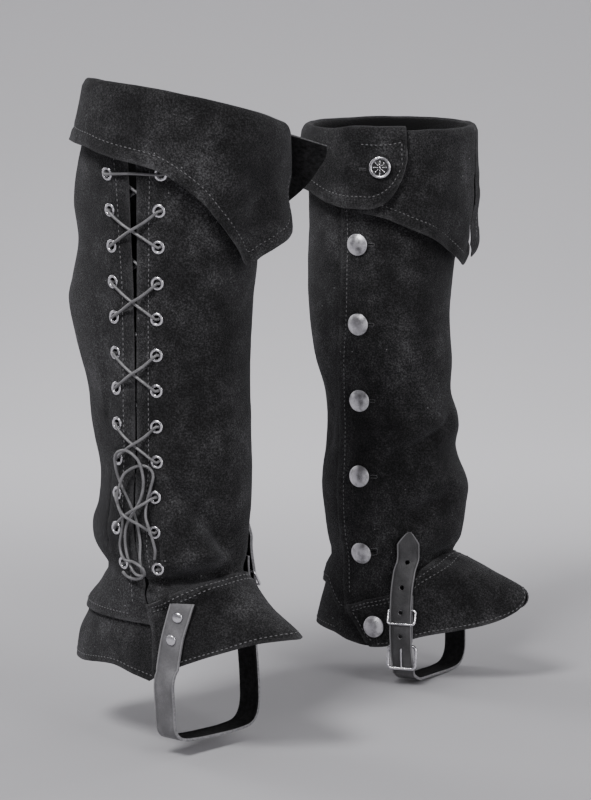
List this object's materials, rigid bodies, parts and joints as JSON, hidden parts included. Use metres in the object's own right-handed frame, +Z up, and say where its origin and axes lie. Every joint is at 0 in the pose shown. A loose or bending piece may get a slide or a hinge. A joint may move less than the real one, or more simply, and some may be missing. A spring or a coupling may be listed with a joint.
{
  "type": "pair of spats",
  "caption": "Pair of tall suede spats standing filled out: laced inner side, buttoned outer side, turned-down cuff with a tab, and a buckled strap under the sole.",
  "frame": {"origin": "midway between the two calf openings, level with their rims, where the wearer's calves hold the pair", "axes": "+Z up along the legs, +X to the right across the pair, +Y away from the front of the pair; the toes point to +X and turn towards -Y, the left piece by 38 degrees and the right one by 26"},
  "size_m": [0.4351, 0.4464, 0.594],
  "materials": {
    "left_front_panel": "suede nap",
    "left_back_panel": "suede nap",
    "left_vamp": "suede nap",
    "left_heel_piece": "suede nap",
    "left_long_cuff": "suede nap",
    "left_short_cuff": "suede nap",
    "left_under_strap": "waxed",
    "left_chape": "waxed",
    "left_buckle_frame": "polished",
    "left_prong": "polished",
    "left_keeper": "polished",
    "left_button_1": "matte silver",
    "left_button_2": "matte silver",
    "left_button_3": "matte silver",
    "left_button_4": "matte silver",
    "left_button_5": "matte silver",
    "left_button_6": "matte silver",
    "left_ring_button": "matte silver",
    "left_rivet_1": "matte silver",
    "left_rivet_2": "matte silver",
    "left_lace": "braided",
    "left_bow": "braided",
    "right_front_panel": "suede nap",
    "right_back_panel": "suede nap",
    "right_vamp": "suede nap",
    "right_heel_piece": "suede nap",
    "right_long_cuff": "suede nap",
    "right_short_cuff": "suede nap",
    "right_under_strap": "waxed",
    "right_chape": "waxed",
    "right_buckle_frame": "polished",
    "right_prong": "polished",
    "right_keeper": "polished",
    "right_button_1": "matte silver",
    "right_button_2": "matte silver",
    "right_button_3": "matte silver",
    "right_button_4": "matte silver",
    "right_button_5": "matte silver",
    "right_button_6": "matte silver",
    "right_ring_button": "matte silver",
    "right_rivet_1": "matte silver",
    "right_rivet_2": "matte silver",
    "right_lace": "braided",
    "right_bow": "braided"
  },
  "bodies": {
    "root": {"left_front_panel": "left_front_panel", "left_back_panel": "left_back_panel", "left_vamp": "left_vamp", "left_heel_piece": "left_heel_piece", "left_long_cuff": "left_long_cuff", "left_short_cuff": "left_short_cuff", "left_under_strap": "left_under_strap", "left_chape": "left_chape", "left_buckle_frame": "left_buckle_frame", "left_prong": "left_prong", "left_keeper": "left_keeper", "left_button_1": "left_button_1", "left_button_2": "left_button_2", "left_button_3": "left_button_3", "left_button_4": "left_button_4", "left_button_5": "left_button_5", "left_button_6": "left_button_6", "left_ring_button": "left_ring_button", "left_rivet_1": "left_rivet_1", "left_rivet_2": "left_rivet_2", "left_lace": "left_lace", "left_bow": "left_bow", "right_front_panel": "right_front_panel", "right_back_panel": "right_back_panel", "right_vamp": "right_vamp", "right_heel_piece": "right_heel_piece", "right_long_cuff": "right_long_cuff", "right_short_cuff": "right_short_cuff", "right_under_strap": "right_under_strap", "right_chape": "right_chape", "right_buckle_frame": "right_buckle_frame", "right_prong": "right_prong", "right_keeper": "right_keeper", "right_button_1": "right_button_1", "right_button_2": "right_button_2", "right_button_3": "right_button_3", "right_button_4": "right_button_4", "right_button_5": "right_button_5", "right_button_6": "right_button_6", "right_ring_button": "right_ring_button", "right_rivet_1": "right_rivet_1", "right_rivet_2": "right_rivet_2", "right_lace": "right_lace", "right_bow": "right_bow"}
  },
  "joints": []
}
